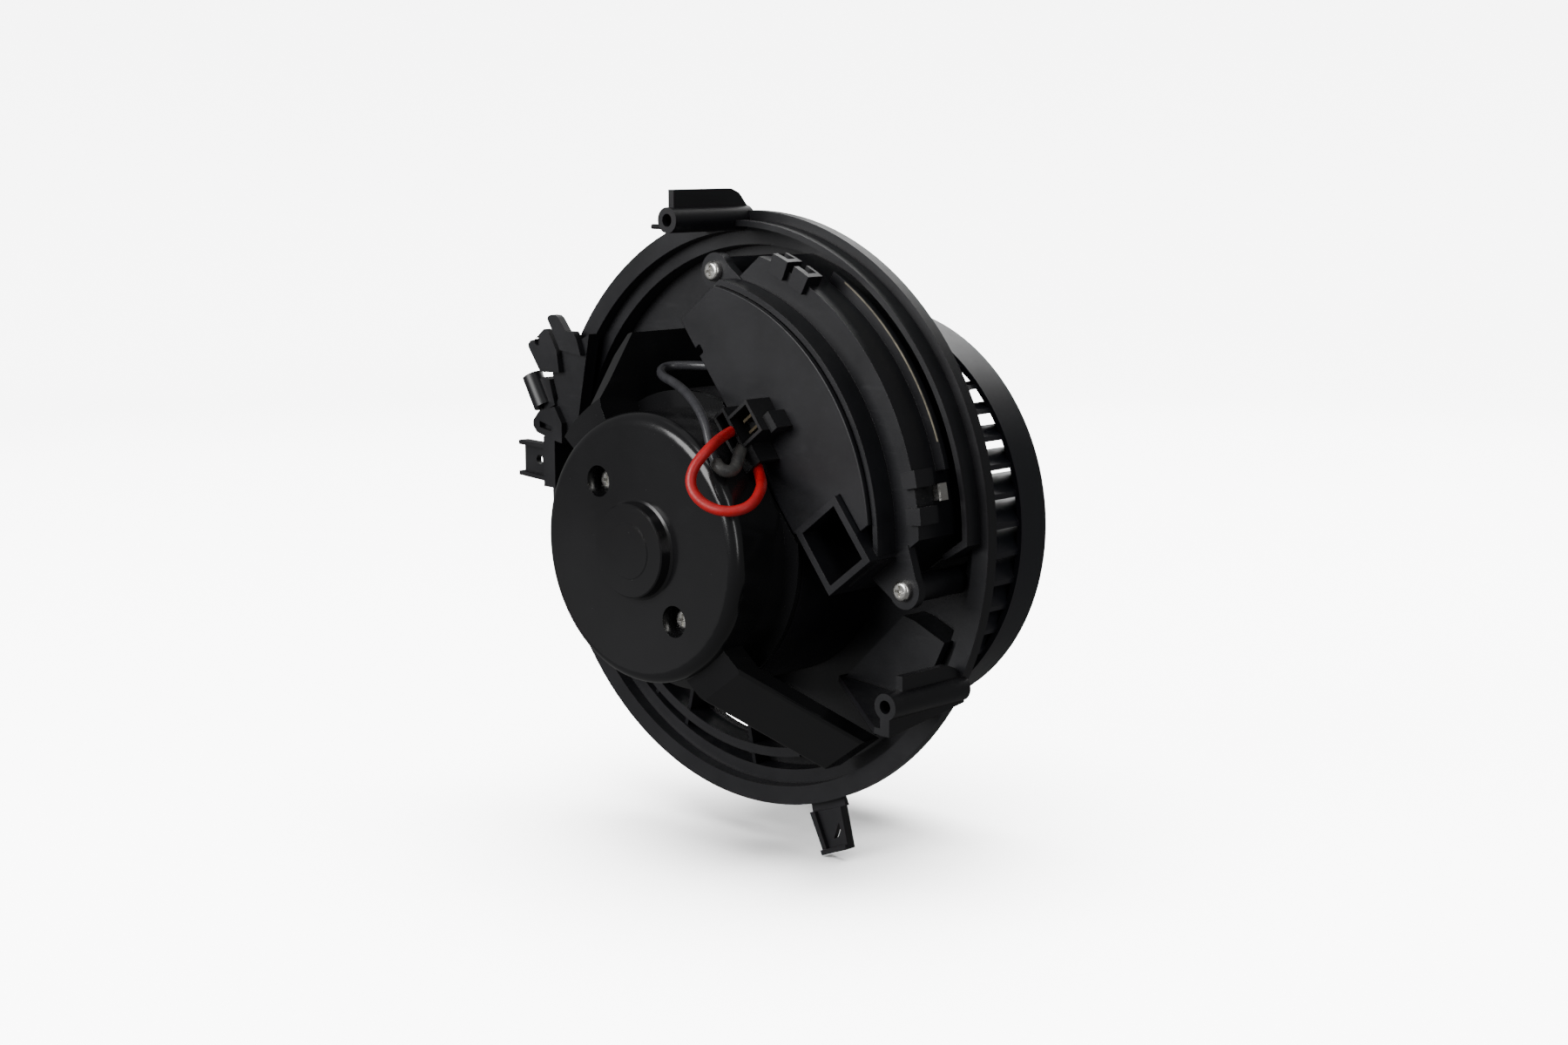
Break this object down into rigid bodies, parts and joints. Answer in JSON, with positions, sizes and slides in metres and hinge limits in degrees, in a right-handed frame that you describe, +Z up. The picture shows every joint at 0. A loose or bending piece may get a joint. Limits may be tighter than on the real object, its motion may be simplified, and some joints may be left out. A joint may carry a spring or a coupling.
{
  "type": "cabin blower unit",
  "caption": "Car cabin blower: round mounting flange carrying a covered motor, an arc-shaped speed controller with leads, and a squirrel-cage fan wheel.",
  "frame": {"origin": "centre of the round mounting flange, on its front (motor side) face", "axes": "+Y along the motor axis from the motor cover to the fan wheel, +Z up, +X to the right seen from the motor side"},
  "size_m": [0.2232, 0.14, 0.2314],
  "materials": {
    "filled_plastic": "satin",
    "gloss_cover": "gloss",
    "zinc_steel": "satin",
    "plated_steel": "satin",
    "ferrite": "matte",
    "spring_steel": "satin",
    "bronze": "matte",
    "phenolic": "matte",
    "brass": "satin",
    "rubber": "matte",
    "controller_plastic": "satin",
    "board": "satin",
    "epoxy": "matte",
    "capacitor_can": "satin",
    "cast_aluminium": "matte",
    "tinned_contacts": "satin",
    "plug_plastic": "satin",
    "red_insulation": "satin",
    "black_insulation": "satin",
    "shrink_sleeve": "matte",
    "seal_bead": "matte",
    "ground_steel": "polished",
    "lamination_steel": "matte",
    "enamelled_copper": "gloss",
    "copper": "satin",
    "wheel_plastic": "satin",
    "carbon": "matte"
  },
  "bodies": {
    "housing": {"mounting_flange": "filled_plastic", "motor_cover": "gloss_cover", "cover_screws": "zinc_steel", "motor_can": "plated_steel", "motor_end_plate": "plated_steel", "field_magnets": "ferrite", "magnet_springs": "spring_steel", "front_bearing": "bronze", "rear_bearing": "bronze", "brush_card": "phenolic", "brush_holders": "brass", "upper_brush_spring": "spring_steel", "lower_brush_spring": "spring_steel", "rubber_isolators": "rubber", "controller_housing": "controller_plastic", "controller_lid": "controller_plastic", "circuit_board": "board", "power_transistor": "epoxy", "smoothing_capacitor": "capacitor_can", "heat_sink": "cast_aluminium", "socket_terminals": "tinned_contacts", "controller_screws": "zinc_steel", "retaining_spring": "spring_steel", "motor_plug": "plug_plastic", "plug_terminals": "tinned_contacts", "rim_seal": "seal_bead", "red_lead": "red_insulation", "black_lead": "black_insulation", "lead_sleeve": "shrink_sleeve"},
    "rotor": {"motor_shaft": "ground_steel", "armature_core": "lamination_steel", "armature_windings": "enamelled_copper", "commutator": "copper", "fan_wheel": "wheel_plastic", "wheel_hub": "wheel_plastic", "hub_nut": "zinc_steel", "balance_clip": "spring_steel"},
    "upper_brush": {"upper_brush": "carbon"},
    "lower_brush": {"lower_brush": "carbon"}
  },
  "joints": [
    {"name": "fan_spin", "type": "hinge", "parent": "housing", "child": "rotor", "pos_m": [0, 0, -0.0067], "axis": [0, 1, 0], "continuous": true},
    {"name": "upper_brush_slide", "type": "slide", "parent": "housing", "child": "upper_brush", "axis": [0, 0, 1], "range_m": [0, 0.003], "stiffness_N_per_m": 150, "springref_m": -0.008, "deforming": ["upper_brush_spring"]},
    {"name": "lower_brush_slide", "type": "slide", "parent": "housing", "child": "lower_brush", "axis": [0, 0, -1], "range_m": [0, 0.003], "stiffness_N_per_m": 150, "springref_m": -0.008, "deforming": ["lower_brush_spring"]}
  ]
}
